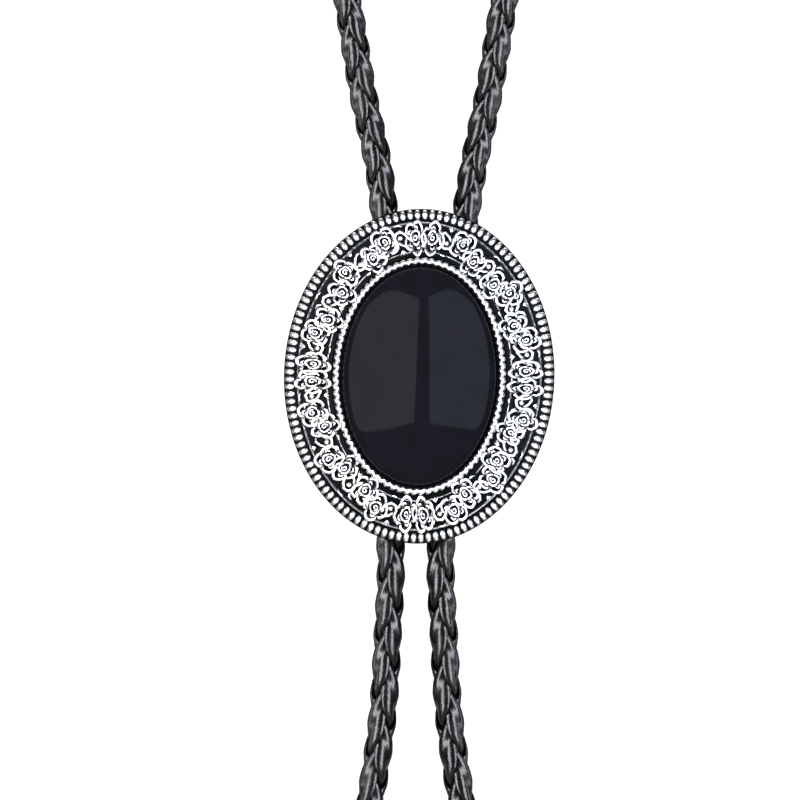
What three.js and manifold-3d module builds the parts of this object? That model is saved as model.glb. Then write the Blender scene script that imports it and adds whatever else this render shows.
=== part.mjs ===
// A bolo tie as it hangs round a neck: an oval cast slide, with a rose garland in relief and a black
// cabochon, clipped to a braided leather cord that passes over the nape and ends in two metal tips.
// Millimetres. +Z is up and the front faces -Y. The origin is on the nape, where the cord rests.
import * as THREE from "three";
import { mergeGeometries, mergeVertices } from "three/addons/utils/BufferGeometryUtils.js";
import Module from "manifold-3d";

const wasm = await Module();
wasm.setup();

// Clearances
const seatGap = 0.3; // between pieces that touch
const cordPlay = 0.35; // between the cord and what it runs through

// Slide plate: bands from the outline inwards, heights from the flat back face
const plateWidth = 40;
const plateHeight = 49.5;
const edgeWidth = 1.7;
const edgeHeight = 1.9;
const edgeBeads = 124;
const fieldWidth = 5.3;
const fieldOuterHeight = 1.35;
const fieldInnerHeight = 2.5;
const bezelWidth = 1.3;
const bezelHeight = 3.05;
const ropeRadius = 0.55;
const ropeTwists = 88;
const floorThickness = 1.4;
const lineInset = 0.25; // from the field's borders to the thin raised line, and to its plain inner part
const lineWidth = 0.45;
const lineHeight = 0.25;
const plateSides = 64; // flat facets round the oval

// Garland on the field
const garlandStations = 16;
const reliefHeight = 0.9;
const reliefRoot = 0.35; // how deep the relief starts under the field
const stemThickness = 0.55;

// Stone
const stoneEdgeHeight = 1.3; // its upright edge, down in the bezel
const stoneDome = 3.9; // from that edge to the top

// Clip: a bent sheet riveted to the plate's back, with a channel for each run of the cord
const clipHeight = 22;
const clipSheet = 0.8;
const clipFoot = 2.4;
const channelSpacing = 10;
const rivetRadius = 0.75;
const rivetHeadRadius = 1.4;
const rivetHeadHeight = 0.6;
const rivetSpacing = clipHeight * 0.64;

// Cord and its tips
const cordDiameter = 4.2;
const cordSides = 8;
const cordStep = 12.5; // length of one straight facet along the cord
const jointDepth = 3; // how far inside the clip the hanging ends start
const tipLength = 32;
const tipWall = 0.7;
const tipSocket = 8;
const tipEndRadius = 1.5;

// Where the slide hangs from the nape, and how far it leans and hangs to one side
const slideDrop = 310;
const slideReach = 130;
const slideLean = THREE.MathUtils.degToRad(2);
const slideAside = -1;
const tailsAside = -1.5;

// Half of the cord's way round the neck, from the nape to the chest. x is mirrored for the other half.
const neckRoute = [
  { x: 0, y: 2.1, z: 0 },
  { x: 22, y: -1.5, z: -1.5 },
  { x: 41, y: -12, z: -5 },
  { x: 54, y: -29, z: -12 },
  { x: 59, y: -51, z: -24 },
  { x: 57, y: -74, z: -43 },
  { x: 51, y: -94, z: -70 },
  { x: 43, y: -108, z: -103 },
  { x: 35, y: -117, z: -140 },
  { x: 26.5, y: -123, z: -178 },
  { x: 18.2, y: -126.3, z: -217 },
];
// The run down to the slide and the end that hangs below it: sideways from the cord's middle line and
// down from the slide's middle.
const chestRoute = [
  { x: 11.6, z: 55.7 },
  { x: 9.4, z: 42.4 },
  { x: 6.7, z: 29 },
];
const tailRoute = [
  { x: 3.7, z: -26.4 },
  { x: 4.15, z: -38 },
  { x: 4.9, z: -50 },
  { x: 6.6, z: -62 },
  { x: 8.8, z: -73 },
];

const silver = new THREE.MeshStandardMaterial({ color: 0xb9bbbd, roughness: 0.28, metalness: 1 });
const steel = new THREE.MeshStandardMaterial({ color: 0x9fa2a5, roughness: 0.35, metalness: 1 });
const onyx = new THREE.MeshStandardMaterial({ color: 0x0b0b10, roughness: 0.06, metalness: 0 });
const leather = new THREE.MeshStandardMaterial({ color: 0x17151a, roughness: 0.38, metalness: 0 });

// Insets from the plate's outline
const fieldInner = edgeWidth + fieldWidth;
const bezelInner = fieldInner + bezelWidth;
const stoneInset = bezelInner + seatGap;
const fieldMiddle = edgeWidth + fieldWidth / 2;

const channelRadius = cordDiameter / 2 + cordPlay;
const channelDepth = -channelRadius; // the cord's centre, behind the plate's back face

// A closed mesh as a solid, without the sliver triangles that a lathe leaves on its axis.
function solidOf(geometry) {
  const bare = geometry.clone();
  bare.deleteAttribute("normal");
  bare.deleteAttribute("uv");
  const merged = mergeVertices(bare, 1e-4);
  const index = merged.index.array;
  const kept = [];
  for (let i = 0; i < index.length; i += 3) {
    const [a, b, c] = [index[i], index[i + 1], index[i + 2]];
    if (a !== b && b !== c && c !== a) kept.push(a, b, c);
  }
  return new wasm.Manifold(
    new wasm.Mesh({
      numProp: 3,
      vertProperties: merged.attributes.position.array,
      triVerts: new Uint32Array(kept),
    }),
  );
}

function geometryOf(solid) {
  const { numProp, numVert, vertProperties, triVerts } = solid.getMesh();
  const positions = new Float32Array(numVert * 3);
  for (let i = 0; i < numVert; i++) {
    positions.set(vertProperties.subarray(i * numProp, i * numProp + 3), i * 3);
  }
  const geometry = new THREE.BufferGeometry();
  geometry.setAttribute("position", new THREE.BufferAttribute(positions, 3));
  geometry.setIndex(new THREE.BufferAttribute(triVerts, 1));
  const flat = geometry.toNonIndexed();
  flat.computeVertexNormals();
  return flat;
}

function named(name, geometry, material) {
  const mesh = new THREE.Mesh(geometry, material);
  mesh.name = name;
  return mesh;
}

function heightOnField(inset) {
  return THREE.MathUtils.mapLinear(inset, edgeWidth, fieldInner, fieldOuterHeight, fieldInnerHeight);
}

// A band round the oval. The profile holds insets from the plate's outline and heights, and its pinched
// points draw in towards the pivot at every other step.
function ovalBand(profile, segments, pivot = null) {
  const reach = plateHeight / 2;
  const points = profile.map(({ inset, height }) => new THREE.Vector2(reach - inset, height));
  const band = new THREE.LatheGeometry(points, segments).rotateX(Math.PI / 2);
  const position = band.attributes.position;
  for (let i = 0; i < position.count; i++) {
    const [x, y] = [position.getX(i), position.getY(i)];
    const radius = Math.hypot(x, y);
    const point = profile[i % profile.length];
    const pinched = point.pinched && Math.floor(i / profile.length) % 2;
    const inset = pinched ? THREE.MathUtils.lerp(pivot.inset, point.inset, pivot.share) : point.inset;
    const height = pinched ? THREE.MathUtils.lerp(pivot.height, point.height, pivot.share) : point.height;
    const [alongX, alongY] = [plateWidth / 2 - inset, plateHeight / 2 - inset];
    position.setXYZ(i, alongX * (x / radius), alongY * (y / radius), height);
  }
  band.deleteAttribute("normal");
  band.deleteAttribute("uv");
  band.userData = { rings: profile.length, segments };
  return band;
}

// The points of one ring of a band, anticlockwise from above. A negative number counts from the last.
function ringOf(band, number) {
  const { rings, segments } = band.userData;
  const ring = number < 0 ? rings + number : number;
  const position = band.attributes.position;
  return Array.from({ length: segments }, (_, step) =>
    new THREE.Vector3().fromBufferAttribute(position, step * rings + ring),
  );
}

// The surface inside a ring, or between it and a smaller one with its own number of points. It faces
// the front, or the back if asked.
function ovalSheet(outer, inner = [], facesBack = false) {
  const points = [...outer, ...inner];
  const faces = THREE.ShapeUtils.triangulateShape([...outer], inner.length ? [[...inner]] : []);
  const index = faces.flatMap((corners) => {
    const facesFront = THREE.ShapeUtils.area(corners.map((corner) => points[corner])) > 0;
    return facesFront === facesBack ? [...corners].reverse() : corners;
  });
  return new THREE.BufferGeometry().setFromPoints(points).setIndex(index);
}

// The casting without its garland and posts: flat back, milled edge, field with its raised line, roped
// bezel and the floor under the stone.
function plateBody() {
  const line = edgeWidth + lineInset;
  const field = ovalBand(
    [
      { inset: line, height: heightOnField(line) },
      { inset: line + lineWidth / 2, height: heightOnField(line) + lineHeight },
      { inset: line + lineWidth, height: heightOnField(line + lineWidth) },
      { inset: fieldInner - lineInset, height: heightOnField(fieldInner - lineInset) },
    ],
    plateSides,
  );
  const edge = ovalBand(
    [
      { inset: edgeWidth * 0.6, height: 0 },
      { inset: 0, height: edgeHeight * 0.4, pinched: true },
      { inset: edgeWidth * 0.35, height: edgeHeight, pinched: true },
      { inset: edgeWidth, height: fieldOuterHeight },
    ],
    edgeBeads * 2,
    { inset: edgeWidth * 0.7, height: edgeHeight * 0.4, share: 0.8 },
  );
  const ropeMiddle = fieldInner + bezelWidth / 2;
  const ropeTop = bezelHeight + ropeRadius;
  const bezel = ovalBand(
    [
      { inset: fieldInner, height: fieldInnerHeight },
      { inset: fieldInner, height: bezelHeight },
      { inset: ropeMiddle - ropeRadius * 0.7, height: ropeTop, pinched: true },
      { inset: ropeMiddle + ropeRadius * 0.7, height: ropeTop, pinched: true },
      { inset: bezelInner, height: bezelHeight },
      { inset: bezelInner, height: floorThickness },
    ],
    ropeTwists * 2,
    { inset: ropeMiddle, height: bezelHeight, share: 0.6 },
  );
  return mergeGeometries([
    ovalSheet(ringOf(edge, 0), [], true),
    edge,
    ovalSheet(ringOf(edge, -1), ringOf(field, 0)),
    field,
    ovalSheet(ringOf(field, -1), ringOf(bezel, 0)),
    bezel,
    ovalSheet(ringOf(bezel, -1)),
  ]);
}

const garlandLine = new THREE.EllipseCurve(
  0,
  0,
  plateWidth / 2 - fieldMiddle,
  plateHeight / 2 - fieldMiddle,
  Math.PI / 2,
  Math.PI / 2 - 2 * Math.PI,
  true,
);

// A place on the sloping field: stations run clockwise from the top, and across is outwards from its
// middle as a share of its width. The frame has x along the garland, y outwards and z off the metal.
function fieldPlace(station, across) {
  const share = THREE.MathUtils.euclideanModulo(station / garlandStations, 1);
  const angle = Math.PI / 2 - 2 * Math.PI * garlandLine.getUtoTmapping(share);
  const inset = fieldMiddle - across * fieldWidth;
  const [alongX, alongY] = [plateWidth / 2 - inset, plateHeight / 2 - inset];
  const slope = Math.atan2(fieldInnerHeight - fieldOuterHeight, fieldWidth);
  const outwards = new THREE.Vector3(Math.cos(angle) * alongY, Math.sin(angle) * alongX, 0).normalize();
  const along = new THREE.Vector3(outwards.y, -outwards.x, 0);
  const offMetal = outwards.clone().multiplyScalar(Math.sin(slope)).setZ(Math.cos(slope));
  const upSlope = new THREE.Vector3().crossVectors(offMetal, along);
  const frame = new THREE.Matrix4().makeBasis(along, upSlope, offMetal);
  return frame.setPosition(alongX * Math.cos(angle), alongY * Math.sin(angle), heightOnField(inset));
}

// A rose in two tiers: the outer petals scalloped, and a smaller heart that stands higher.
const petalTop = { size: 0.84, height: 0.6 };
const heart = { size: 0.4, height: 1 };
const petalValley = 0.8;

function roseGeometry(petals, radiusAlong, radiusAcross) {
  const corners = petals * 2;
  const rings = [
    { size: 1, height: -reliefRoot },
    { size: petalTop.size, height: reliefHeight * petalTop.height },
    { size: heart.size, height: reliefHeight * heart.height },
  ];
  const profile = [
    new THREE.Vector2(0, -reliefRoot),
    ...rings.map(({ size, height }) => new THREE.Vector2(size, height)),
    new THREE.Vector2(0, reliefHeight * heart.height),
  ];
  const rose = new THREE.LatheGeometry(profile, corners).rotateX(Math.PI / 2);
  const position = rose.attributes.position;
  for (let i = 0; i < position.count; i++) {
    const corner = Math.floor(i / profile.length);
    const ring = i % profile.length;
    const outer = ring === 1 || ring === 2;
    const reach = outer && corner % 2 ? petalValley : 1;
    position.setXY(i, position.getX(i) * reach * radiusAlong, position.getY(i) * reach * radiusAcross);
  }
  return rose;
}

// The roses at one station: places as shares of the station spacing and the field's width, radii as
// shares of the field's width.
const clusters = {
  pair: [
    { along: -0.26, across: 0, radiusAlong: 0.37, radiusAcross: 0.48, petals: 5 },
    { along: 0.26, across: 0, radiusAlong: 0.37, radiusAcross: 0.48, petals: 5 },
  ],
  slanted: [
    { along: -0.25, across: 0.08, radiusAlong: 0.36, radiusAcross: 0.4, petals: 4 },
    { along: 0.22, across: -0.07, radiusAlong: 0.34, radiusAcross: 0.38, petals: 4 },
  ],
  spray: [
    { along: -0.22, across: -0.08, radiusAlong: 0.36, radiusAcross: 0.38, petals: 4 },
    { along: 0.26, across: 0.08, radiusAlong: 0.34, radiusAcross: 0.37, petals: 4 },
  ],
};
const clusterOrder = ["pair", "slanted", "spray", "slanted"];

function roses() {
  const solids = [];
  for (let station = 0; station < garlandStations; station++) {
    const turn = station % clusterOrder.length;
    const side = turn > 2 ? -1 : 1;
    for (const { along, across, radiusAlong, radiusAcross, petals } of clusters[clusterOrder[turn]]) {
      const rose = roseGeometry(petals, radiusAlong * fieldWidth, radiusAcross * fieldWidth);
      solids.push(solidOf(rose.applyMatrix4(fieldPlace(station + side * along, across))));
    }
  }
  return solids;
}

// Stems that swing between the clusters, outwards and inwards in turn.
function stems() {
  const section = new THREE.Shape([
    new THREE.Vector2(-stemThickness, -stemThickness),
    new THREE.Vector2(stemThickness, 0),
    new THREE.Vector2(-stemThickness, stemThickness),
  ]);
  const solids = [];
  for (let station = 0; station < garlandStations; station++) {
    const swing = station % 2 ? 0.2 : -0.2;
    const points = [-0.22, 0, 0.22].map((along) => {
      const across = along === 0 ? swing : swing * 0.2;
      const lift = reliefHeight * 0.3;
      return new THREE.Vector3(0, 0, lift).applyMatrix4(fieldPlace(station + 0.5 + along, across));
    });
    const path = new THREE.CatmullRomCurve3(points);
    const stem = new THREE.ExtrudeGeometry(section, { steps: 2, extrudePath: path, bevelEnabled: false });
    solids.push(solidOf(stem));
  }
  return solids;
}

// Two posts cast on the back, with heads that hold the clip.
function rivets() {
  const headStart = seatGap * 2 + clipSheet;
  const solids = [];
  for (const side of [-1, 1]) {
    const profile = [
      new THREE.Vector2(0, -headStart - rivetHeadHeight),
      new THREE.Vector2(rivetHeadRadius * 0.7, -headStart - rivetHeadHeight),
      new THREE.Vector2(rivetHeadRadius, -headStart - rivetHeadHeight * 0.5),
      new THREE.Vector2(rivetHeadRadius, -headStart),
      new THREE.Vector2(rivetRadius, -headStart),
      new THREE.Vector2(rivetRadius, floorThickness / 2),
      new THREE.Vector2(0, floorThickness / 2),
    ];
    const rivet = new THREE.LatheGeometry(profile, 12).rotateX(Math.PI / 2);
    solids.push(solidOf(rivet.translate(0, (side * rivetSpacing) / 2, 0)));
  }
  return solids;
}

function slidePlate() {
  const raised = [...roses(), ...stems(), ...rivets()];
  const joined = raised.reduce((whole, solid) => whole.add(solid), solidOf(plateBody()));
  return named("slide_plate", geometryOf(joined), silver);
}

function cabochon() {
  const seat = floorThickness + seatGap;
  const shoulder = seat + stoneEdgeHeight;
  const bevel = stoneEdgeHeight * 0.3;
  const rings = 5;
  const profile = [
    new THREE.Vector2(0, seat),
    new THREE.Vector2(1 - bevel / (plateWidth / 2 - stoneInset), seat),
    new THREE.Vector2(1, seat + bevel),
  ];
  for (let i = 0; i <= rings; i++) {
    const turn = (i / rings) * (Math.PI / 2);
    const reach = i === rings ? 0 : Math.cos(turn);
    profile.push(new THREE.Vector2(reach, shoulder + stoneDome * Math.sin(turn)));
  }
  const stone = new THREE.LatheGeometry(profile, 36).rotateX(Math.PI / 2);
  stone.scale(plateWidth / 2 - stoneInset, plateHeight / 2 - stoneInset, 1);
  return named("cabochon", stone, onyx);
}

// The clip's section: a foot, a channel, the riveted land, the other channel and foot. side is -1 or 1.
function channelEdge(shape, radius, front) {
  const middle = channelSpacing / 2;
  for (const side of [-1, 1]) {
    shape.lineTo(side * middle - radius, front);
    shape.lineTo(side * middle - radius, channelDepth);
    shape.absarc(side * middle, channelDepth, radius, Math.PI, 2 * Math.PI, false);
    shape.lineTo(side * middle + radius, front);
  }
}

function cordClip() {
  const front = -seatGap;
  const outer = channelRadius + clipSheet;
  const end = channelSpacing / 2 + outer + clipFoot;
  const inside = new THREE.Shape();
  inside.moveTo(-end, front);
  channelEdge(inside, channelRadius, front);
  inside.lineTo(end, front);
  const outside = new THREE.Shape();
  outside.moveTo(-end, front - clipSheet);
  channelEdge(outside, outer, front - clipSheet);
  outside.lineTo(end, front - clipSheet);
  const arcSteps = 8;
  const outline = [...inside.getPoints(arcSteps), ...outside.getPoints(arcSteps).reverse()];
  const section = new THREE.Shape(outline);
  const sheet = new THREE.ExtrudeGeometry(section, { depth: clipHeight, bevelEnabled: false });
  sheet.rotateX(Math.PI / 2).translate(0, clipHeight / 2, 0);
  let clip = solidOf(sheet);
  for (const side of [-1, 1]) {
    const hole = new THREE.CylinderGeometry(rivetRadius + seatGap, rivetRadius + seatGap, clipSheet * 4, 12);
    hole.rotateX(Math.PI / 2).translate(0, (side * rivetSpacing) / 2, front - clipSheet / 2);
    clip = clip.subtract(solidOf(hole));
  }
  return named("cord_clip", geometryOf(clip), steel);
}

// The slide's own frame: x across, y up and z out of its face.
const slide = new THREE.Group();
slide.position.set(slideAside, -slideReach, -slideDrop);
slide.rotation.y = slideLean;
const face = new THREE.Group();
face.rotation.x = Math.PI / 2;
slide.add(face);
face.add(slidePlate(), cabochon(), cordClip());
slide.updateMatrixWorld(true);

function inSlide(x, y) {
  return face.localToWorld(new THREE.Vector3(x, y, channelDepth));
}

function cordTube(name, points) {
  const path = new THREE.CatmullRomCurve3(points, false, "centripetal");
  const corners = [];
  for (let i = 0; i < cordSides; i++) {
    const turn = (i / cordSides) * 2 * Math.PI;
    corners.push(new THREE.Vector2(Math.cos(turn), Math.sin(turn)).multiplyScalar(cordDiameter / 2));
  }
  const steps = Math.ceil(path.getLength() / cordStep);
  const section = new THREE.Shape(corners);
  const tube = new THREE.ExtrudeGeometry(section, { steps, extrudePath: path, bevelEnabled: false });
  return { mesh: named(name, tube, leather), path };
}

const clipEnd = clipHeight / 2;

function neckHalf(side) {
  const behind = -slideReach + channelRadius;
  const chest = chestRoute.map(({ x, z }) => new THREE.Vector3(side * x, behind, z - slideDrop));
  const neck = neckRoute.map(({ x, y, z }) => new THREE.Vector3(side * x, y, z));
  const clipped = [clipEnd, 0, jointDepth - clipEnd].map((y) => inSlide((side * channelSpacing) / 2, y));
  return [...neck, ...chest, ...clipped];
}

function neckCord() {
  const left = neckHalf(-1).reverse();
  return cordTube("neck_cord", [...left, ...neckHalf(1).slice(1)]).mesh;
}

// One hanging end and the tip on it. The tip's socket takes the last of the cord.
function hangingEnd(side, where) {
  const behind = -slideReach + channelRadius;
  const across = (side * channelSpacing) / 2;
  const clipped = [jointDepth - clipEnd - seatGap, -clipEnd].map((y) => inSlide(across, y));
  const hanging = tailRoute.map(
    ({ x, z }) => new THREE.Vector3(tailsAside + side * x, behind, z - slideDrop),
  );
  const { mesh, path } = cordTube(`tail_cord_${where}`, [...clipped, ...hanging]);
  const tip = cordTip(`cord_tip_${where}`);
  const downwards = path.getTangentAt(1);
  tip.position.copy(path.getPointAt(1)).addScaledVector(downwards, seatGap);
  tip.quaternion.setFromUnitVectors(new THREE.Vector3(0, -1, 0), downwards);
  return [mesh, tip];
}

// A tapered metal tip. Its origin is on the socket's floor and its mouth is up.
function cordTip(name) {
  const socket = cordDiameter / 2 + cordPlay;
  const body = socket + tipWall;
  const lip = body * 1.12;
  const end = tipSocket - tipLength;
  const profile = [
    new THREE.Vector2(0, 0),
    new THREE.Vector2(socket, 0),
    new THREE.Vector2(socket, tipSocket),
    new THREE.Vector2(lip, tipSocket),
    new THREE.Vector2(lip, tipSocket - tipWall * 2),
    new THREE.Vector2(body, tipSocket - tipWall * 3),
    new THREE.Vector2(body, -tipWall),
    new THREE.Vector2(tipEndRadius, end + tipEndRadius),
    new THREE.Vector2(tipEndRadius * 0.7, end + tipEndRadius * 0.3),
    new THREE.Vector2(0, end),
  ];
  return named(name, new THREE.LatheGeometry(profile.reverse(), 12), silver);
}

const boloTie = new THREE.Group();
boloTie.add(slide, neckCord(), ...hangingEnd(-1, "left"), ...hangingEnd(1, "right"));

export default boloTie;
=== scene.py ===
import math
import random

import bpy
from mathutils import Matrix, Vector


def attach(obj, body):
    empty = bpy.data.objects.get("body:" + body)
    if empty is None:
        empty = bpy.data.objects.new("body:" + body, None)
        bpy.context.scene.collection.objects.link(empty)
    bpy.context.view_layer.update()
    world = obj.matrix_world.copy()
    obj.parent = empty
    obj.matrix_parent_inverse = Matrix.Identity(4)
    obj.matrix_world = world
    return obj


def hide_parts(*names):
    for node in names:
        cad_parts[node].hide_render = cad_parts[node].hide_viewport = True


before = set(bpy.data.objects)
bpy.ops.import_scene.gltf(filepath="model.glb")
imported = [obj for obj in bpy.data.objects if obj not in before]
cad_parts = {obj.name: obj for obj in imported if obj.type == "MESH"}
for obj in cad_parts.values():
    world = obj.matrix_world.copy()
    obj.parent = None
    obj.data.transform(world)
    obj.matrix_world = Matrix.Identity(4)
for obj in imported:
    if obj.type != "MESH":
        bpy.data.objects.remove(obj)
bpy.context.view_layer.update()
print("frame loaded")

# Metres. The front faces -Y, and the nape is at the origin.
mm = 0.001
forward = Vector((0, -1, 0))
scene = bpy.context.scene

# Camera: level, straight in front of the slide
camera = bpy.data.cameras.new("camera")
camera.lens = 243.4
camera.sensor_width = 36
camera.clip_start = 0.05
cameraObject = bpy.data.objects.new("camera", camera)
scene.collection.objects.link(cameraObject)
cameraObject.location = (-0.00384, -0.93, -0.3135)
cameraObject.rotation_euler = (math.radians(90), 0, 0)
scene.camera = cameraObject

# The slide's own frame: x across, y up and z out of its face
slideMiddle = (-0.001, -0.130, -0.310)
slideLean = math.radians(2)
slidePlace = (
    Matrix.Translation(slideMiddle)
    @ Matrix.Rotation(slideLean, 4, "Y")
    @ Matrix.Rotation(math.radians(90), 4, "X")
)
# Where the two runs of the cord pass behind the plate, in that frame and in mm
channel = {"aside": 5, "depth": -2.45}


# Small helpers for meshes and nodes


def meshObject(name, points, faces):
    mesh = bpy.data.meshes.new(name)
    mesh.from_pydata(points, [], faces)
    mesh.update()
    made = bpy.data.objects.new(name, mesh)
    scene.collection.objects.link(made)
    return made


def pickOnly(*objects):
    bpy.ops.object.select_all(action="DESELECT")
    for o in objects:
        o.select_set(True)
    bpy.context.view_layer.objects.active = objects[0]


def recalculate(o):
    pickOnly(o)
    bpy.ops.object.mode_set(mode="EDIT")
    bpy.ops.mesh.select_all(action="SELECT")
    bpy.ops.mesh.normals_make_consistent(inside=False)
    bpy.ops.object.mode_set(mode="OBJECT")


def editFaces(o, chosen):
    # opens edit mode with only the chosen faces selected
    pickOnly(o)
    bpy.ops.object.mode_set(mode="EDIT")
    bpy.ops.mesh.select_mode(type="FACE")
    bpy.ops.mesh.select_all(action="DESELECT")
    bpy.ops.object.mode_set(mode="OBJECT")
    for face in o.data.polygons:
        face.select = chosen(face)
    bpy.ops.object.mode_set(mode="EDIT")


def applied(o, kind, **settings):
    made = o.modifiers.new("made", kind)
    for key, value in settings.items():
        setattr(made, key, value)
    pickOnly(o)
    bpy.ops.object.modifier_apply(modifier=made.name)


def settle(o, place):
    # moves the finished shape to its place, and leaves the object at the origin
    o.data.transform(place @ o.matrix_world)
    o.matrix_world = Matrix.Identity(4)


def joined(name, objects):
    pickOnly(*objects)
    bpy.ops.object.join()
    whole = bpy.context.view_layer.objects.active
    whole.name = name
    whole.data.name = name
    return whole


def linear(hexColour):
    channels = [int(hexColour[i : i + 2], 16) / 255 for i in (1, 3, 5)]
    return [
        c / 12.92 if c <= 0.04045 else ((c + 0.055) / 1.055) ** 2.4 for c in channels
    ] + [1]


def addNode(tree, kind, inputs=None, **settings):
    made = tree.nodes.new(kind)
    for key, value in settings.items():
        setattr(made, key, value)
    for key, value in (inputs or {}).items():
        if isinstance(value, bpy.types.NodeSocket):
            tree.links.new(value, made.inputs[key])
        else:
            made.inputs[key].default_value = value
    return made


def newMaterial(name):
    made = bpy.data.materials.new(name)
    made.use_nodes = True
    tree = made.node_tree
    return made, tree, tree.nodes["Principled BSDF"]


def rampOf(tree, factor, stops):
    ramp = addNode(tree, "ShaderNodeValToRGB", {"Fac": factor})
    elements = ramp.color_ramp.elements
    elements[0].position, elements[0].color = stops[0]
    elements[1].position, elements[1].color = stops[-1]
    for place, colour in stops[1:-1]:
        elements.new(place).color = colour
    return ramp.outputs["Color"]


def objectPlace(tree):
    return addNode(tree, "ShaderNodeTexCoord").outputs["Object"]


def noise(tree, place, scale, detail):
    made = addNode(
        tree, "ShaderNodeTexNoise", {"Vector": place, "Scale": scale, "Detail": detail}
    )
    return made.outputs["Fac"]


def grey(value):
    return (value, value, value, 1)


def dress(material, *pieces):
    for piece in pieces:
        piece.data.materials.clear()
        piece.data.materials.append(material)


# Cords

cord = {
    "diameter": 4.2 * mm,
    "ringRadius": 1.36 * mm,  # of the strands' middle lines
    "weave": 0.33 * mm,  # how far they swing in and out
    "slow": 0.4,  # how much straighter a strand runs while it is on top
    "tilt": 0.1,  # how far a strand leans on its edge to slip under the next
    "late": math.radians(22),  # its lower part stands proud, over the next one's start
    "wrapRadius": 1.75 * mm,  # where its slant is measured
    "bend": 2.55 * mm,  # how round a strand is across
    "flatten": 0.65 * mm,  # flatter than that on top, and rounder where it is tucked in
    "narrow": 0.14,  # how much the plait squeezes a strand on its way under
}

# One strand across: a flat thong with two soft ridges on its outer side
strandSection = [
    (-1.92, -0.16),
    (-1.76, 0.1),
    (-1.35, 0.29),
    (-0.85, 0.4),
    (-0.4, 0.36),
    (0.0, 0.26),
    (0.4, 0.36),
    (0.85, 0.4),
    (1.35, 0.29),
    (1.76, 0.1),
    (1.92, -0.16),
    (1.2, -0.34),
    (-1.2, -0.34),
]

# Half of the way round the neck, from the nape to the chest
neckRoute = [
    (0, 0.0021, 0),
    (0.022, -0.0015, -0.0015),
    (0.041, -0.012, -0.005),
    (0.054, -0.029, -0.012),
    (0.059, -0.051, -0.024),
    (0.057, -0.074, -0.043),
    (0.051, -0.094, -0.070),
    (0.043, -0.108, -0.103),
    (0.035, -0.117, -0.140),
    (0.0265, -0.123, -0.178),
    (0.0182, -0.1263, -0.217),
    (0.0116, -0.12755, -0.2543),
    (0.0094, -0.12755, -0.2676),
    (0.0067, -0.12755, -0.281),
]
# A hanging end, from the plate's lower edge down. Both hang a little to the left.
tailRoute = [
    (0.0037, -0.12755, -0.3364),
    (0.00415, -0.12755, -0.348),
    (0.0049, -0.12755, -0.360),
    (0.0066, -0.12755, -0.372),
    (0.0088, -0.12755, -0.383),
]
tailsAside = -0.0015


def inChannel(side, y):
    return slidePlace @ Vector((side * channel["aside"] * mm, y * mm, channel["depth"] * mm))


def neckHalf(side):
    way = [Vector((side * x, y, z)) for x, y, z in neckRoute]
    return way + [inChannel(side, y) for y in (11, 0, -8)]


def smoothWay(points, spacing):
    # a centripetal Catmull-Rom curve through the points, as evenly spaced points along it
    cuts = 40
    ends = [points[0] * 2 - points[1], *points, points[-1] * 2 - points[-2]]
    fine = []
    for p0, p1, p2, p3 in zip(ends, ends[1:], ends[2:], ends[3:]):
        d0, d1, d2 = [math.sqrt((b - a).length) for a, b in ((p0, p1), (p1, p2), (p2, p3))]
        t1 = ((p1 - p0) / d0 - (p2 - p0) / (d0 + d1) + (p2 - p1) / d1) * d1
        t2 = ((p2 - p1) / d1 - (p3 - p1) / (d1 + d2) + (p3 - p2) / d2) * d1
        for i in range(cuts):
            t = i / cuts
            fine.append(
                p1 * (2 * t**3 - 3 * t**2 + 1)
                + t1 * (t**3 - 2 * t**2 + t)
                + p2 * (3 * t**2 - 2 * t**3)
                + t2 * (t**3 - t**2)
            )
    fine.append(points[-1].copy())
    gone = [0]
    for a, b in zip(fine, fine[1:]):
        gone.append(gone[-1] + (b - a).length)
    count = round(gone[-1] / spacing)
    way = []
    at = 0
    for i in range(count + 1):
        wanted = gone[-1] * i / count
        while at < len(fine) - 2 and gone[at + 1] < wanted:
            at += 1
        share = (wanted - gone[at]) / (gone[at + 1] - gone[at])
        way.append(fine[at].lerp(fine[at + 1], min(share, 1)))
    return way, gone[-1]


def framesAlong(way):
    # the direction, and a side direction that starts at the front and never twists
    frames = []
    side = forward
    for i in range(len(way)):
        ahead = (way[min(i + 1, len(way) - 1)] - way[max(i - 1, 0)]).normalized()
        side = (side - ahead * side.dot(ahead)).normalized()
        frames.append((ahead, side, side.cross(ahead)))
    return frames


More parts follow.
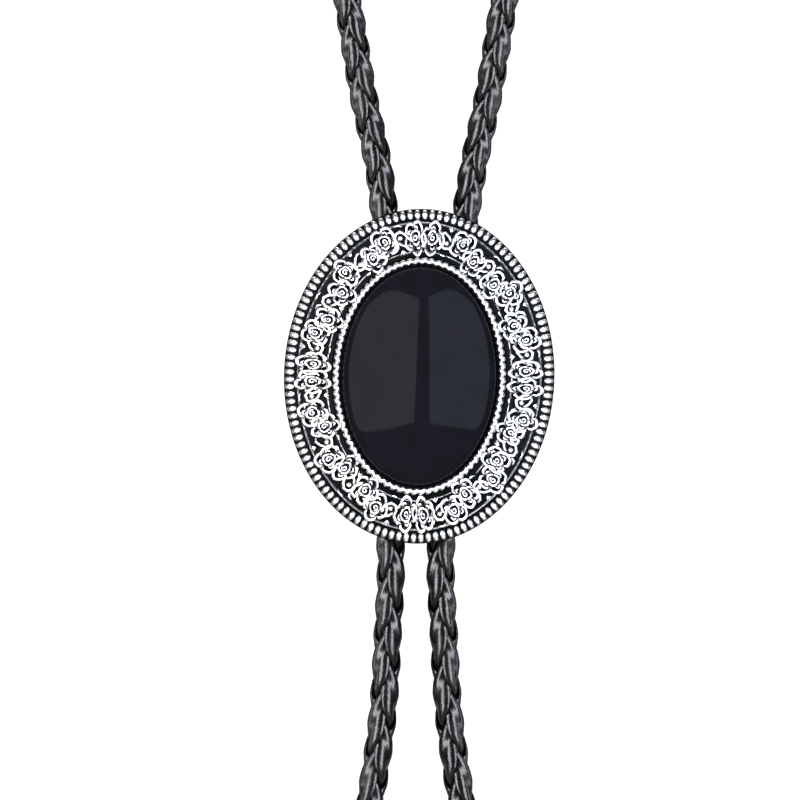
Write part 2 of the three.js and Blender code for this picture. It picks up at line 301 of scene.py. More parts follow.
def braid(name, way, frames, length, turns, start, rolls, falls):
    # four strands: two run round one way and two the other, and they pass over and under in turn.
    # falls is 1 where the way goes down and -1 where it goes up.
    step = length / (len(way) - 1)
    points = []
    faces = []
    width = len(strandSection)
    slow = cord["slow"]
    for hand in (1, -1):
        for half in (0, math.pi):
            first = len(points)
            for i, middle in enumerate(way):
                ahead, front, aside = frames[i]
                phase = turns * i * step + start
                theta = hand * phase + half
                azimuth = rolls[i] + theta - hand * slow * math.sin(2 * theta)
                wave = 2 * phase - cord["late"] * falls[i]
                radius = cord["ringRadius"] + hand * cord["weave"] * math.cos(wave)
                swing = hand * turns * (1 - 2 * slow * hand * math.cos(2 * theta))
                lean = math.atan(swing * cord["wrapRadius"])
                bend = cord["bend"] + hand * cord["flatten"] * math.cos(wave)
                share = 1 - cord["narrow"] * (1 - hand * math.cos(wave))
                outwards = front * math.cos(azimuth) + aside * math.sin(azimuth)
                sideways = aside * math.cos(azimuth) - front * math.sin(azimuth)
                for u, v in strandSection:
                    u *= share
                    turn = u * mm * math.cos(lean) / bend
                    v -= cord["tilt"] * u * math.sin(2 * phase)
                    reach = bend + v * mm
                    points.append(
                        middle
                        + outwards * (radius - bend + reach * math.cos(turn))
                        + sideways * (reach * math.sin(turn))
                        - ahead * (u * mm * math.sin(lean))
                    )
            rings = len(way)
            for i in range(rings - 1):
                for j in range(width):
                    a = first + i * width + j
                    b = first + i * width + (j + 1) % width
                    faces.append((a, b, b + width, a + width))
            faces.append([first + j for j in range(width)])
            faces.append([first + (rings - 1) * width + j for j in range(width)])
    made = meshObject(name, points, faces)
    recalculate(made)
    bpy.ops.object.shade_smooth_by_angle(angle=math.radians(60))
    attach(made, "root")
    return made


def whereAt(way, z, last=False):
    places = [
        i for i in range(len(way) - 1) if (way[i].z - z) * (way[i + 1].z - z) <= 0
    ]
    return places[-1] if last else places[0]


# The cord round the neck. Its plait shows as leaves in two rows on both front runs, which mirror
# each other, so the braid turns a quarter behind the neck.
neck = {
    "spacing": 0.65 * mm,
    "leafHeight": -0.2692,  # where a leaf begins on both front runs
    "pitch": 15.6 * mm,
    "roll": math.radians(45),
    "turnFrom": 0.2,  # the quarter turn begins at this share of the way
    "turnOver": 0.6,
}
neckWay, neckLength = smoothWay([*reversed(neckHalf(-1)), *neckHalf(1)[1:]], neck["spacing"])
neckFrames = framesAlong(neckWay)
step = neckLength / (len(neckWay) - 1)
leftLeaf = whereAt(neckWay, neck["leafHeight"])
rightLeaf = whereAt(neckWay, neck["leafHeight"], last=True)
between = (rightLeaf - leftLeaf) * step
halfTurns = round(between * 2 / neck["pitch"] - 0.5) + 0.5
neckTurns = halfTurns * math.pi / between
endSide, endAside = neckFrames[-1][1:]
drift = math.atan2(forward.dot(endAside), forward.dot(endSide))
startRoll = -neck["roll"]
endRoll = drift + neck["roll"]
while endRoll - startRoll > math.pi / 2:
    endRoll -= math.pi
while endRoll - startRoll < -math.pi / 2:
    endRoll += math.pi
neckRolls = []
neckFalls = []
for i in range(len(neckWay)):
    share = min(max((i * step / neckLength - neck["turnFrom"]) / neck["turnOver"], 0), 1)
    share = share * share * (3 - 2 * share)
    neckRolls.append(startRoll + (endRoll - startRoll) * share)
    neckFalls.append(2 * share - 1)
neckBraid = braid(
    "neckBraid",
    neckWay,
    neckFrames,
    neckLength,
    neckTurns,
    math.pi / 2 - neckTurns * leftLeaf * step,
    neckRolls,
    neckFalls,
)
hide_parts("neck_cord")
print("neck cord", round(neckLength, 4), "m, pitch", round(2 * math.pi / neckTurns, 5))

# The two hanging ends
hanging = {
    "spacing": 0.4 * mm,
    "leafHeight": -0.3444,
    "pitch": 17.4 * mm,
    "roll": math.radians(45),
}
tails = {}
for side, where in ((-1, "left"), (1, "right")):
    points = [inChannel(side, y) for y in (-8.3, -11)]
    points += [Vector((tailsAside + side * x, y, z)) for x, y, z in tailRoute]
    way, length = smoothWay(points, hanging["spacing"])
    frames = framesAlong(way)
    turns = 2 * math.pi / hanging["pitch"]
    leaf = whereAt(way, hanging["leafHeight"]) * length / (len(way) - 1)
    start = -turns * leaf + (math.pi / 2 if side < 0 else 0)
    rolls = [hanging["roll"]] * len(way)
    made = braid(where + "Tail", way, frames, length, turns, start, rolls, [1] * len(way))
    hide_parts("tail_cord_" + where)
    tails[where] = {"braid": made, "way": way, "length": length, "ahead": frames[-1][0]}
    print(where, "tail", round(length, 4), "m")

# Tips: turned metal, with a lip at the mouth and a rounded end. Radius and height above the
# socket's floor.
tip = {
    "floorGap": 0.3,  # between the cord's end and the socket's floor
    "sides": 48,
    "profile": [
        (2.5, 0.0),
        (2.5, 7.7),
        (2.6, 8.0),
        (3.3, 8.0),
        (3.58, 7.8),
        (3.62, 7.3),
        (3.58, 6.8),
        (3.3, 6.55),
        (3.2, 6.2),
        (3.2, 5.2),
        (3.0, 5.05),
        (3.0, 4.75),
        (3.2, 4.6),
        (3.2, -0.7),
        (3.1, -1.4),
        (2.6, -8.0),
        (2.1, -14.5),
        (1.62, -21.5),
        (1.45, -22.8),
        (1.1, -23.6),
        (0.6, -23.95),
    ],
}


def turned(name, profile, sides):
    first, height = profile[0]
    bpy.ops.mesh.primitive_circle_add(
        vertices=sides, radius=first * mm, fill_type="NGON", location=(0, 0, height * mm)
    )
    made = bpy.context.active_object
    made.name = name
    bpy.ops.object.mode_set(mode="EDIT")
    bpy.ops.mesh.select_all(action="SELECT")
    for (r0, h0), (r1, h1) in zip(profile, profile[1:]):
        bpy.ops.mesh.extrude_region_move(
            TRANSFORM_OT_translate={"value": (0, 0, (h1 - h0) * mm)}
        )
        bpy.ops.transform.resize(
            value=(r1 / r0, r1 / r0, 1), center_override=(0, 0, h1 * mm)
        )
    bpy.ops.mesh.select_all(action="SELECT")
    bpy.ops.mesh.remove_doubles(threshold=1e-6)
    bpy.ops.mesh.normals_make_consistent(inside=False)
    bpy.ops.object.mode_set(mode="OBJECT")
    bpy.ops.object.shade_smooth_by_angle(angle=math.radians(35))
    return made


for where, tail in tails.items():
    made = turned(where + "Tip", tip["profile"], tip["sides"])
    end = tail["way"][-1] + tail["ahead"] * tip["floorGap"] * mm
    turn = Vector((0, 0, -1)).rotation_difference(tail["ahead"]).to_matrix().to_4x4()
    settle(made, Matrix.Translation(end) @ turn @ Matrix.Translation(-made.location))
    recalculate(made)
    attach(made, "root")
    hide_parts("cord_tip_" + where)
    tail["tip"] = made
print("tips")

# Slide plate, in its own frame and in mm
plate = {
    "halfWidth": 20,
    "halfHeight": 24.75,
    "sides": 192,
    "rim": 0.7,  # height of the upright part of its edge
    "edgeWidth": 1.7,
    "fieldInner": 7.0,
    "fieldLow": 1.35,
    "fieldHigh": 2.5,
    "stations": 16,  # of the garland
    "backBright": 0.7,
}
fieldWidth = plate["fieldInner"] - plate["edgeWidth"]
fieldMiddle = (plate["fieldInner"] + plate["edgeWidth"]) / 2
fieldRise = plate["fieldHigh"] - plate["fieldLow"]
fieldSlope = math.atan(fieldRise / fieldWidth)


def fieldHeight(inset):
    return plate["fieldLow"] + (inset - plate["edgeWidth"]) / fieldWidth * fieldRise


# Its rings from the outline inwards: inset, height above the back, and how bright it is rubbed
plateRings = [
    (0.0, plate["rim"], 0.15),
    (0.1, 0.95, 0.15),
    (0.35, 1.1, 0.1),
    (0.7, 1.18, 0.0),
    (1.3, 1.22, 0.0),
    (1.75, 1.3, 0.0),
    (1.88, 1.38, 0.0),
    (1.95, 1.6, 0.7),
    (2.1, 1.7, 1.0),
    (2.22, 1.6, 0.7),
    (2.3, 1.45, 0.0),
    (3.6, fieldHeight(3.6), 0.0),
    (5.2, fieldHeight(5.2), 0.0),
    (6.7, fieldHeight(6.7), 0.0),
    (7.0, 2.5, 0.0),
    (7.08, 2.7, 0.0),
    (7.25, 2.85, 0.1),
    (8.0, 2.85, 0.1),
    (8.2, 2.8, 0.1),
    (8.3, 2.7, 0.0),
    (8.34, 1.4, 0.0),
]


def insetOf(x, y):
    # how far a point is inside the outline, found by halving
    low, high = -1, 19.5
    for _ in range(30):
        middle = (low + high) / 2
        a = plate["halfWidth"] - middle
        b = plate["halfHeight"] - middle
        if (x / a) ** 2 + (y / b) ** 2 < 1:
            low = middle
        else:
            high = middle
    return low


def markBright(o, value):
    # keeps on each vertex how bright the metal is, from 0 in the black to 1 where it is rubbed
    layer = o.data.attributes.new("bright", "FLOAT", "POINT")
    for i, vertex in enumerate(o.data.vertices):
        layer.data[i].value = value(vertex)


bpy.ops.mesh.primitive_cylinder_add(
    vertices=plate["sides"],
    radius=1 * mm,
    depth=plate["rim"] * mm,
    location=(0, 0, plate["rim"] / 2 * mm),
)
plateBody = bpy.context.active_object
plateBody.scale = (plate["halfWidth"], plate["halfHeight"], 1)
bpy.ops.object.transform_apply(location=True, rotation=True, scale=True)
editFaces(plateBody, lambda face: face.normal.z > 0.9)
for (inset0, height0, _), (inset1, height1, _) in zip(plateRings, plateRings[1:]):
    bpy.ops.mesh.inset(
        thickness=(inset1 - inset0) * mm, depth=(height1 - height0) * mm, use_boundary=True
    )
bpy.ops.object.mode_set(mode="OBJECT")
recalculate(plateBody)
bpy.ops.object.shade_smooth_by_angle(angle=math.radians(50))


def ringBright(vertex):
    inset = insetOf(vertex.co.x / mm, vertex.co.y / mm)
    height = vertex.co.z / mm
    if height < 0.05:
        return plate["backBright"]
    nearest = min(
        plateRings, key=lambda ring: (ring[0] - inset) ** 2 + (ring[1] - height) ** 2
    )
    return nearest[2]


markBright(plateBody, ringBright)
plateParts = [plateBody]

# Places round the oval at equal steps along it
ovalSteps = 1440


def evenAngles(inset, count):
    # clockwise from the top
    a = plate["halfWidth"] - inset
    b = plate["halfHeight"] - inset
    turns = [math.pi / 2 - 2 * math.pi * i / ovalSteps for i in range(ovalSteps + 1)]
    lengths = [0]
    for t0, t1 in zip(turns, turns[1:]):
        across = a * (math.cos(t1) - math.cos(t0))
        down = b * (math.sin(t1) - math.sin(t0))
        lengths.append(lengths[-1] + math.hypot(across, down))
    angles = []
    at = 0
    for i in range(count):
        wanted = lengths[-1] * (i / count)
        while at < ovalSteps - 1 and lengths[at + 1] < wanted:
            at += 1
        share = (wanted - lengths[at]) / (lengths[at + 1] - lengths[at])
        angles.append(math.pi / 2 - 2 * math.pi * (at + share) / ovalSteps)
    return angles


def ovalPlace(angle, inset, height, slope=0):
    # x along the oval, clockwise, y outwards and z off the metal
    a = plate["halfWidth"] - inset
    b = plate["halfHeight"] - inset
    outwards = Vector((math.cos(angle) * b, math.sin(angle) * a, 0)).normalized()
    along = Vector((outwards.y, -outwards.x, 0))
    off = outwards * math.sin(slope) + Vector((0, 0, math.cos(slope)))
    up = off.cross(along)
    place = Matrix((along, up, off)).transposed().to_4x4()
    place.translation = (
        a * math.cos(angle) * mm,
        b * math.sin(angle) * mm,
        height * mm,
    )
    return place


def pebble(half):
    # a rounded lump of this half size, in mm
    bpy.ops.mesh.primitive_ico_sphere_add(subdivisions=2, radius=1 * mm, location=(0, 0, 0))
    made = bpy.context.active_object
    made.scale = half
    bpy.ops.object.transform_apply(location=True, rotation=True, scale=True)
    bpy.ops.object.shade_smooth()
    return made


def repeated(model, places):
    copies = []
    for place in places:
        copy = model.copy()
        copy.data = model.data.copy()
        scene.collection.objects.link(copy)
        copy.data.transform(place)
        copies.append(copy)
    bpy.data.objects.remove(model)
    return copies


# Milled edge: rounded bars side by side, modelled once
bars = {
    "count": 124,
    "half": (0.44, 0.78, 0.62),
    "blunt": (0.8, 0.75),  # powers below 1 make their sides and ends blunter
    "rubbed": 2.1,
    "inset": 0.9,
    "evenAt": 1.02,  # the inset at which they stand equally far apart
    "height": 1.16,
    "slope": math.radians(16),
}
bar = pebble(bars["half"])
for vertex in bar.data.vertices:
    point = vertex.co / mm
    for axis, power in enumerate(bars["blunt"]):
        half = bars["half"][axis]
        reach = abs(point[axis] / half) ** power * half
        vertex.co[axis] = math.copysign(reach, point[axis]) * mm
markBright(bar, lambda vertex: bars["rubbed"] * vertex.co.z / mm)
barPlaces = [
    ovalPlace(angle, bars["inset"], bars["height"], bars["slope"])
    for angle in evenAngles(bars["evenAt"], bars["count"])
]
plateParts += repeated(bar, barPlaces)

# Roped bezel: slanted twists, modelled once
twists = {
    "count": 88,
    "half": (0.76, 0.48, 0.62),
    "slant": math.radians(38),
    "inset": 7.78,
    "height": 2.98,
}
twist = pebble(twists["half"])
twist.data.transform(Matrix.Rotation(twists["slant"], 4, "Z"))
markBright(twist, lambda vertex: 0.65 + vertex.co.z / mm * 1.6)
twistPlaces = [
    ovalPlace(angle, twists["inset"], twists["height"])
    for angle in evenAngles(twists["inset"], twists["count"])
]
plateParts += repeated(twist, twistPlaces)
print("plate, edge and rope")

# Garland: raised lines, drawn as curves in mm. A rose has a row of ruffled petals with a fold in
# each, an inner row and a coil at its heart.
petalLines = {
    "petal": {"radius": 1.15, "bulge": 0.72, "height": 0.3, "count": 8, "thickness": 0.25},
    "fold": {"radius": 0.95, "bulge": 0.32, "height": 0.42, "count": 4, "thickness": 0.15},
    "inner": {"radius": 0.58, "bulge": 0.25, "height": 0.6, "count": 6, "thickness": 0.2},
}
coil = {
    "count": 13,
    "turn": 0.62,
    "reach": 0.46,
    "closer": 0.032,
    "height": 0.72,
    "thickness": 0.13,
}


def line(points, thickness, closed=False):
    return {"points": points, "thickness": thickness, "closed": closed}


def arcLine(middle, spread, radius, bulge, height, count, thickness):
    # bulged, a little ruffled, and lower at its ends
    points = []
    for i in range(count + 1):
        t = 2 * i / count - 1
        angle = middle + t * spread
        reach = radius + bulge * math.sqrt(max(1 - t * t, 0)) + 0.05 * math.cos(7 * t)
        points.append((reach * math.cos(angle), reach * math.sin(angle), height - 0.12 * t * t))
    return line(points, thickness)


def roseLines(petals, lean):
    lines = []
    for i in range(petals):
        middle = lean + 2 * math.pi * i / petals
        lines.append(arcLine(middle, 0.95 * math.pi / petals, **petalLines["petal"]))
        lines.append(arcLine(middle + 0.25, 0.5 * math.pi / petals, **petalLines["fold"]))
    for i in range(3):
        middle = lean + 0.5 + 2 * math.pi * i / 3
        lines.append(arcLine(middle, 1.1, **petalLines["inner"]))
    heart = []
    for i in range(coil["count"]):
        angle = lean + i * coil["turn"]
        reach = coil["reach"] - coil["closer"] * i
        heart.append((reach * math.cos(angle), reach * math.sin(angle), coil["height"]))
    lines.append(line(heart, coil["thickness"]))
    return lines


def raised(name, lines, rubbedMost=1.1):
    # round wires along the lines, a little thinner at their open ends
    curve = bpy.data.curves.new(name, "CURVE")
    curve.dimensions = "3D"
    curve.bevel_depth = 1 * mm
    curve.bevel_resolution = 1
    curve.use_fill_caps = True
    for each in lines:
        last = len(each["points"]) - 1
        spline = curve.splines.new("POLY")
        spline.points.add(last)
        spline.use_cyclic_u = each["closed"]
        for i, (point, (x, y, z)) in enumerate(zip(spline.points, each["points"])):
            atEnd = i in (0, last) and not each["closed"]
            point.co = (x * mm, y * mm, z * mm, 1)
            point.radius = each["thickness"] * (0.8 if atEnd else 1)
    made = bpy.data.objects.new(name, curve)
    scene.collection.objects.link(made)
    pickOnly(made)
    bpy.ops.object.convert(target="MESH")
    made = bpy.context.active_object
    bpy.ops.object.mode_set(mode="EDIT")
    bpy.ops.mesh.select_all(action="SELECT")
    bpy.ops.mesh.remove_doubles(threshold=1e-6)
    bpy.ops.mesh.normals_make_consistent(inside=False)
    bpy.ops.object.mode_set(mode="OBJECT")
    bpy.ops.object.shade_smooth()
    markBright(made, lambda vertex: rubbedMost * vertex.normal.z)
    return made


stationParts = 100  # places from one station to the next
stationAngles = evenAngles(fieldMiddle, plate["stations"] * stationParts)


def fieldPlace(station, across):
    angle = stationAngles[round(station * stationParts) % len(stationAngles)]
    inset = fieldMiddle - across * fieldWidth
    return ovalPlace(angle, inset, fieldHeight(inset), fieldSlope)


# Where the roses sit: station, share of the field's width, size along and across, and kind. Every
# fourth cluster is turned the other way round.
clusters = {
    "pair": [(-0.185, 0.0, 0.86, 1.38, 0), (0.185, 0.0, 0.86, 1.38, 1)],
    "slanted": [(-0.175, 0.08, 0.97, 1.22, 2), (0.17, -0.16, 0.99, 1.17, 0)],
    "spray": [(-0.17, -0.17, 0.97, 1.19, 1), (0.18, 0.08, 0.99, 1.19, 2)],
}
clusterOrder = ["pair", "slanted", "spray", "slanted"]
roseKinds = [(5, 0.3), (4, 1.0), (4, 0.5)]  # petals and lean
rosePlaces = [[], [], []]
chance = random.Random(7)
moundPlaces = []
for station in range(plate["stations"]):
    turn = station % 4
    side = -1 if turn > 2 else 1
    for along, across, sizeAlong, sizeAcross, kind in clusters[clusterOrder[turn]]:
        place = fieldPlace(station + side * along, across)
        spin = Matrix.Rotation(chance.uniform(0, 6.3), 4, "Z")
        sizeAlong *= chance.uniform(0.94, 1.08)
        sizeAcross *= chance.uniform(0.95, 1.05)
        stretch = Matrix.Diagonal((sizeAlong, sizeAcross, 1, 1))
        rosePlaces[kind].append(place @ stretch @ spin)
        moundPlaces.append(place @ stretch)
for (petals, lean), places in zip(roseKinds, rosePlaces):
    plateParts += repeated(raised("rose", roseLines(petals, lean)), places)

# The swell of metal under each rose
swell = {"radius": 1.55, "height": 0.55, "sunk": 0.1, "rubbed": 0.4}
bpy.ops.mesh.primitive_uv_sphere_add(
    segments=20, ring_count=8, radius=1 * mm, location=(0, 0, -swell["sunk"] * mm)
)
mound = bpy.context.active_object
mound.scale = (swell["radius"], swell["radius"], swell["height"])
bpy.ops.object.transform_apply(location=True, rotation=True, scale=True)
bpy.ops.object.shade_smooth()
markBright(mound, lambda vertex: swell["rubbed"] * max(vertex.co.z / mm, 0))
plateParts += repeated(mound, moundPlaces)

# Stems that swing between the clusters, each with curled leaves and a bud
stemCurve = [
    (-2.0, -0.75, 0.2),
    (-1.35, -0.2, 0.3),
    (-0.95, 0.65, 0.38),
    (-0.3, 1.2, 0.4),
    (0.45, 1.0, 0.4),
    (0.8, 0.3, 0.36),
    (0.65, -0.5, 0.32),
    (1.0, -1.15, 0.28),
    (1.6, -1.3, 0.2),
]
stem = [
    line(stemCurve, 0.29),
    line([(0.5, -0.1, 0.2), (0.0, -0.75, 0.3), (-0.7, -1.2, 0.3), (-1.25, -1.0, 0.2)], 0.24),
    line([(0.75, 0.9, 0.2), (1.15, 1.5, 0.28), (1.75, 1.55, 0.2)], 0.22),
    line([(-0.75, 1.95, 0.1), (-0.2, 2.25, 0.2), (0.5, 2.1, 0.1)], 0.17),
    line([(-0.5, -2.25, 0.1), (0.0, -1.65, 0.24), (0.5, -2.25, 0.1)], 0.19),
    line([(0.0, -2.3, 0.1), (0.0, -1.8, 0.2)], 0.16),
]
stemPlaces = []
for station in range(plate["stations"]):
    flip = Matrix.Diagonal((1, 1 if station % 2 else -1, 1, 1))
    if station >= plate["stations"] / 2:
        flip = Matrix.Diagonal((-1, 1, 1, 1)) @ flip
    stemPlaces.append(fieldPlace(station + 0.5, 0) @ flip)
plateParts += repeated(raised("stem", stem), stemPlaces)
budRadius = 0.42
budAside = Matrix.Translation((-0.1 * mm, 0.3 * mm, 0.25 * mm))
bud = pebble((budRadius, budRadius, budRadius))
markBright(bud, lambda vertex: 0.5 + 1.6 * vertex.co.z / mm)
plateParts += repeated(bud, [place @ budAside for place in stemPlaces])

# A thin line on each side of the garland, less rubbed than the roses
wireSteps = 240
wires = [
    {"inset": 2.1, "thickness": 0.15, "rubbed": 0.66},
    {"inset": 6.35, "thickness": 0.12, "rubbed": 0.62},
]
for wire in wires:
    across = plate["halfWidth"] - wire["inset"]
    down = plate["halfHeight"] - wire["inset"]
    height = fieldHeight(wire["inset"]) + 0.04
    ring = []
    for i in range(wireSteps):
        turn = 2 * math.pi * i / wireSteps
        ring.append((across * math.cos(turn), down * math.sin(turn), height))
    ringLine = line(ring, wire["thickness"], closed=True)
    plateParts.append(raised("wire", [ringLine], wire["rubbed"]))

# Two rivets through the clip: radius and height, and how far each is from the middle
rivets = {
    "profile": [(0.75, 0.5), (0.75, -1.4), (1.4, -1.4), (1.4, -1.7), (1.2, -1.92), (0.8, -2.0)],
    "sides": 32,
    "aside": 7.04,
}
for side in (-1, 1):
    rivet = turned("rivet", rivets["profile"], rivets["sides"])
    settle(rivet, Matrix.Translation((0, side * rivets["aside"] * mm, 0)))
    markBright(rivet, lambda vertex: plate["backBright"])
    plateParts.append(rivet)

slide = joined("slide", plateParts)
recalculate(slide)
settle(slide, slidePlace)
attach(slide, "root")
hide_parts("slide_plate")
print("garland,", len(slide.data.polygons), "faces in the slide")

# Stone: a smooth oval dome on an upright edge
stone = {
    "halfWidth": 11.4,
    "halfHeight": 16.15,
    "dome": 3.9,
    "crown": 2.7,
    "edge": 0.9,
    "chamfer": (0.35, 0.4),  # inwards and down, under the edge
    "foot": 3.0,  # height of the dome's foot above the plate's back
}
bpy.ops.mesh.primitive_uv_sphere_add(
    segments=96, ring_count=64, radius=1 * mm, location=(0, 0, 0)
)
dome = bpy.context.active_object
dome.name = "stone"
dome.scale = (stone["halfWidth"], stone["halfHeight"], stone["dome"])
bpy.ops.object.transform_apply(location=True, rotation=True, scale=True)
bpy.ops.object.mode_set(mode="EDIT")
bpy.ops.mesh.select_all(action="SELECT")
bpy.ops.mesh.bisect(plane_co=(0, 0, 0), plane_no=(0, 0, 1), clear_inner=True, use_fill=True)
bpy.ops.object.mode_set(mode="OBJECT")
editFaces(dome, lambda face: face.normal.z < -0.9)
bpy.ops.mesh.extrude_region_move(
    TRANSFORM_OT_translate={"value": (0, 0, -stone["edge"] * mm)}
)
bpy.ops.mesh.inset(thickness=stone["chamfer"][0] * mm, depth=stone["chamfer"][1] * mm)
bpy.ops.object.mode_set(mode="OBJECT")
for vertex in dome.data.vertices:
    # a low crown inside a rounded shoulder
    x, y, z = vertex.co / mm
    if z > 1e-4:
        reach = (x / stone["halfWidth"]) ** 2 + (y / stone["halfHeight"]) ** 2
        shoulder = (stone["dome"] - stone["crown"]) * math.sqrt(max(1 - reach**20, 0))
        vertex.co.z = (stone["crown"] * max(1 - reach, 0) + shoulder) * mm
recalculate(dome)
bpy.ops.object.shade_smooth_by_angle(angle=math.radians(50))
settle(dome, slidePlace @ Matrix.Translation((0, 0, stone["foot"] * mm)))
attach(dome, "root")
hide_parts("cabochon")
print("stone")

# Clip: a bent sheet with a channel for each run of the cord, across the plate's back
clip = {
    "half": 10.65,
    "land": -0.7,
    "radius": 2.85,
    "height": 22,
    "bends": 16,
    "sheet": 0.8,
    "hole": 1.05,
    "softened": 0.14,
}
section = [(-clip["half"], clip["land"])]
for side in (-1, 1):
    middle = side * channel["aside"]
    section.append((middle - clip["radius"], clip["land"]))
    for i in range(clip["bends"] + 1):
        turn = math.pi + math.pi * i / clip["bends"]
        section.append(
            (
                middle + clip["radius"] * math.cos(turn),
                channel["depth"] + clip["radius"] * math.sin(turn),
            )
        )
    section.append((middle + clip["radius"], clip["land"]))
section.append((clip["half"], clip["land"]))
points = [(x * mm, y * clip["height"] / 2 * mm, z * mm) for y in (-1, 1) for x, z in section]
count = len(section)
faces = [(i, i + 1, count + i + 1, count + i) for i in range(count - 1)]
clipPiece = meshObject("clip", points, faces)
applied(clipPiece, "SOLIDIFY", thickness=clip["sheet"] * mm, offset=0, use_even_offset=True)
for side in (-1, 1):
    bpy.ops.mesh.primitive_cylinder_add(
        vertices=rivets["sides"],
        radius=clip["hole"] * mm,
        depth=3 * mm,
        location=(0, side * rivets["aside"] * mm, clip["land"] * mm),
    )
    drill = bpy.context.active_object
    applied(clipPiece, "BOOLEAN", operation="DIFFERENCE", solver="EXACT", object=drill)
    bpy.data.objects.remove(drill)
applied(
    clipPiece,
    "BEVEL",
    width=clip["softened"] * mm,
    segments=2,
    limit_method="ANGLE",
    angle_limit=math.radians(40),
)
recalculate(clipPiece)
bpy.ops.object.shade_smooth_by_angle(angle=math.radians(35))
settle(clipPiece, slidePlace)
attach(clipPiece, "root")
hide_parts("cord_clip")
print("clip")


# Materials

# Cast zinc alloy, silver plated and blackened: the black stays in the hollows, and the raised
# lines are rubbed bright
silver, tree, shader = newMaterial("antiquedSilver")
patches = noise(tree, objectPlace(tree), 1400, 4)
rubbed = addNode(tree, "ShaderNodeAttribute", attribute_name="bright").outputs["Fac"]
uneven = addNode(
    tree, "ShaderNodeMath", {0: patches, 1: 0.5, 2: rubbed}, operation="MULTIPLY_ADD"
).outputs["Value"]
shown = rampOf(tree, uneven, [(0.7, grey(0)), (0.95, grey(1))])
colour = addNode(
    tree,
    "ShaderNodeMix",
    {"Factor": shown, 6: linear("#060808"), 7: linear("#ededec")},
    data_type="RGBA",
)
tree.links.new(colour.outputs[2], shader.inputs["Base Color"])
tree.links.new(shown, shader.inputs["Metallic"])
rough = rampOf(tree, patches, [(0.3, grey(0.2)), (0.75, grey(0.34))])
tree.links.new(rough, shader.inputs["Roughness"])
cast = addNode(
    tree, "ShaderNodeBump", {"Height": patches, "Strength": 0.25, "Distance": 0.00006}
)
tree.links.new(cast.outputs["Normal"], shader.inputs["Normal"])
shader.inputs["Specular IOR Level"].default_value = 0.03
dress(silver, slide)

# Polished black stone: deep, even black with a clean gloss and the faintest cloud
onyx, tree, shader = newMaterial("blackOnyx")
cloud = noise(tree, objectPlace(tree), 260, 3)
shade = rampOf(tree, cloud, [(0.35, linear("#0f0f12")), (0.75, linear("#131218"))])
tree.links.new(shade, shader.inputs["Base Color"])
polish = rampOf(tree, cloud, [(0.3, grey(0.03)), (0.8, grey(0.07))])
tree.links.new(polish, shader.inputs["Roughness"])
shader.inputs["Specular IOR Level"].default_value = 0.035
dress(onyx, dome)

# Bonded leather thong, black and waxed: fine pores, soft folds and a gloss that wears duller in
# patches
leather, tree, shader = newMaterial("blackLeather")
place = objectPlace(tree)
grain = addNode(
    tree, "ShaderNodeTexVoronoi", {"Vector": place, "Scale": 3300, "Randomness": 0.9}
).outputs["Distance"]
mottle = noise(tree, place, 420, 5)
shade = rampOf(tree, mottle, [(0.3, linear("#020202")), (0.75, linear("#070608"))])
tree.links.new(shade, shader.inputs["Base Color"])
sheen = rampOf(tree, mottle, [(0.3, grey(0.19)), (0.75, grey(0.34))])
tree.links.new(sheen, shader.inputs["Roughness"])
creases = noise(tree, place, 1100, 3)
folds = addNode(
    tree, "ShaderNodeBump", {"Height": creases, "Strength": 0.5, "Distance": 0.0001}
).outputs["Normal"]
pores = addNode(
    tree,
    "ShaderNodeBump",
    {"Height": grain, "Strength": 0.35, "Distance": 0.00005, "Normal": folds},
).outputs["Normal"]
tree.links.new(pores, shader.inputs["Normal"])
shader.inputs["IOR"].default_value = 1.5
leathers = [neckBraid, tails["left"]["braid"], tails["right"]["braid"]]
dress(leather, *leathers)


def plainMetal(name, dark, bright, smooth, dull):
    made, tree, shader = newMaterial(name)
    haze = noise(tree, objectPlace(tree), 700, 4)
    shade = rampOf(tree, haze, [(0.3, linear(dark)), (0.7, linear(bright))])
    tree.links.new(shade, shader.inputs["Base Color"])
    finish = rampOf(tree, haze, [(0.3, grey(smooth)), (0.75, grey(dull))])
    tree.links.new(finish, shader.inputs["Roughness"])
    shader.inputs["Metallic"].default_value = 1
    return made


# Silver plate on the tips: bright, with a little haze from handling
tips = [tails["left"]["tip"], tails["right"]["tip"]]
dress(plainMetal("plainSilver", "#cfcfd1", "#e6e6e6", 0.14, 0.24), *tips)
# Nickel plated steel on the clip: greyer and a little duller
dress(plainMetal("nickelSteel", "#a9a8a4", "#c4c3bf", 0.24, 0.38), clipPiece)
print("materials")


# Studio: a pale floor and a glowing wall behind


def backdrop(name, place, lean, size, glow):
    bpy.ops.mesh.primitive_plane_add(size=1, location=place, rotation=(lean, 0, 0))
    made = bpy.context.active_object
    made.name = name
    made.scale = (*size, 1)
    bpy.ops.object.transform_apply(location=True, rotation=True, scale=True)
    paper, tree, shader = newMaterial(name + "Paper")
    shader.inputs["Base Color"].default_value = linear("#f2f2f2")
    shader.inputs["Roughness"].default_value = 0.9
    shader.inputs["Emission Color"].default_value = linear("#ffffff")
    shader.inputs["Emission Strength"].default_value = glow
    made.data.materials.append(paper)
    return made


floor = backdrop("floor", (0, 0.5, -0.95), 0, (10, 8), 0)
wall = backdrop("wall", (0, 4.5, 2.5), math.radians(90), (10, 7), 0.9)


def lightOnly(light, pieces):
    chosen = bpy.data.collections.new(light.name + "Pieces")
    for piece in pieces:
        chosen.objects.link(piece)
    light.light_linking.receiver_collection = chosen


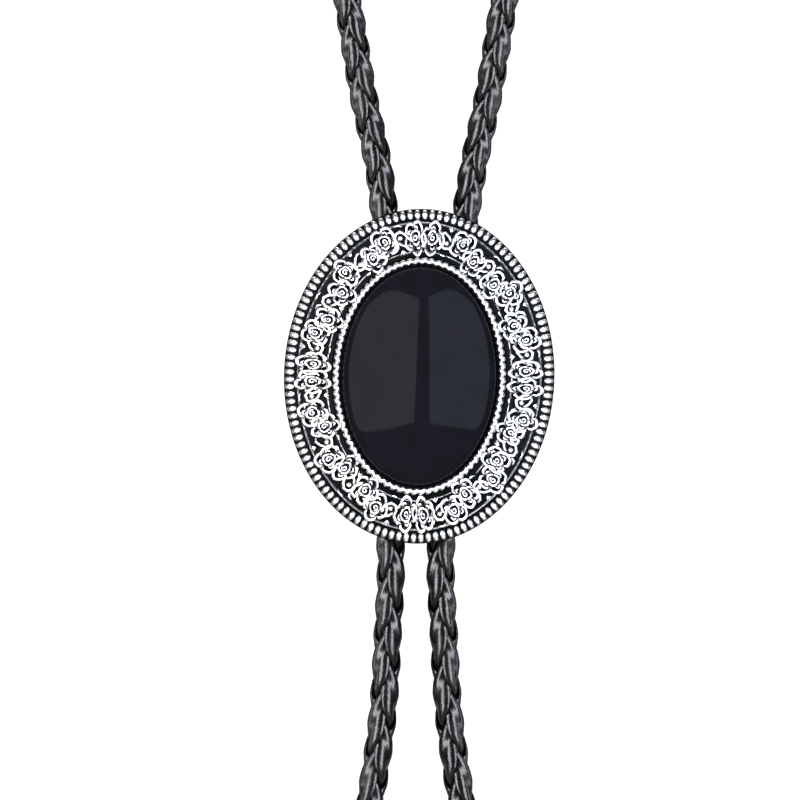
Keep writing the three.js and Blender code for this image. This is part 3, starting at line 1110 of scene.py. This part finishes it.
def panel(name, turn, rise, distance, width, height, power, colour, pieces):
    light = bpy.data.lights.new(name, "AREA")
    light.shape = "RECTANGLE"
    light.size = width
    light.size_y = height
    light.energy = power
    light.color = colour
    made = bpy.data.objects.new(name, light)
    scene.collection.objects.link(made)
    away = Vector(
        (
            math.sin(math.radians(turn)) * math.cos(math.radians(rise)),
            -math.cos(math.radians(turn)) * math.cos(math.radians(rise)),
            math.sin(math.radians(rise)),
        )
    )
    made.location = litMiddle + away * distance
    made.rotation_euler = away.to_track_quat("Z", "Y").to_euler()
    if pieces:
        lightOnly(made, pieces)


# Two wide panels at the front light the metal and the stone. Two narrow strips on each side light
# the leather, as wide ones make its gloss flat and grey, and the wall's glow is kept off it too.
litMiddle = Vector((0, -0.13, -0.31))
hard = [slide, dome, clipPiece, *tips]
white = (1, 1, 1)
warm = (1, 0.97, 1)
cool = (0.72, 0.8, 1)
pale = (0.88, 0.92, 1)
# Degrees to the right of the camera and above it, distance, width, height, power, colour, and the
# pieces it lights, or None for all
panels = [
    ("leftPanel", -27.5, 6.5, 0.6, 0.57, 0.547, 6.2, warm, hard),
    ("rightPanel", 30, 6.5, 0.6, 0.5, 0.547, 6.0, cool, hard),
    ("leftNearStrip", -50, 10, 0.8, 0.36, 1.3, 18, warm, leathers),
    ("leftFarStrip", -98, 10, 0.8, 0.16, 1.3, 2.8, warm, leathers),
    ("rightNearStrip", 50, 10, 0.8, 0.36, 1.3, 18, pale, leathers),
    ("rightFarStrip", 98, 10, 0.8, 0.16, 1.3, 2.8, pale, leathers),
    ("lowPanel", 20, -55, 0.7, 0.7, 0.4, 3.2, white, [slide]),
    ("backPanel", 180, 60, 0.8, 0.8, 0.5, 1.6, white, None),
    ("ceiling", 180, 75, 3.2, 3, 3, 32, white, None),
]
for settings in panels:
    panel(*settings)
lightOnly(wall, [*hard, floor])

world = bpy.data.worlds.new("studio")
world.use_nodes = True
world.node_tree.nodes["Background"].inputs["Color"].default_value = linear("#c8cad0")
world.node_tree.nodes["Background"].inputs["Strength"].default_value = 0.2
scene.world = world
scene.view_settings.view_transform = "Standard"
print("studio")
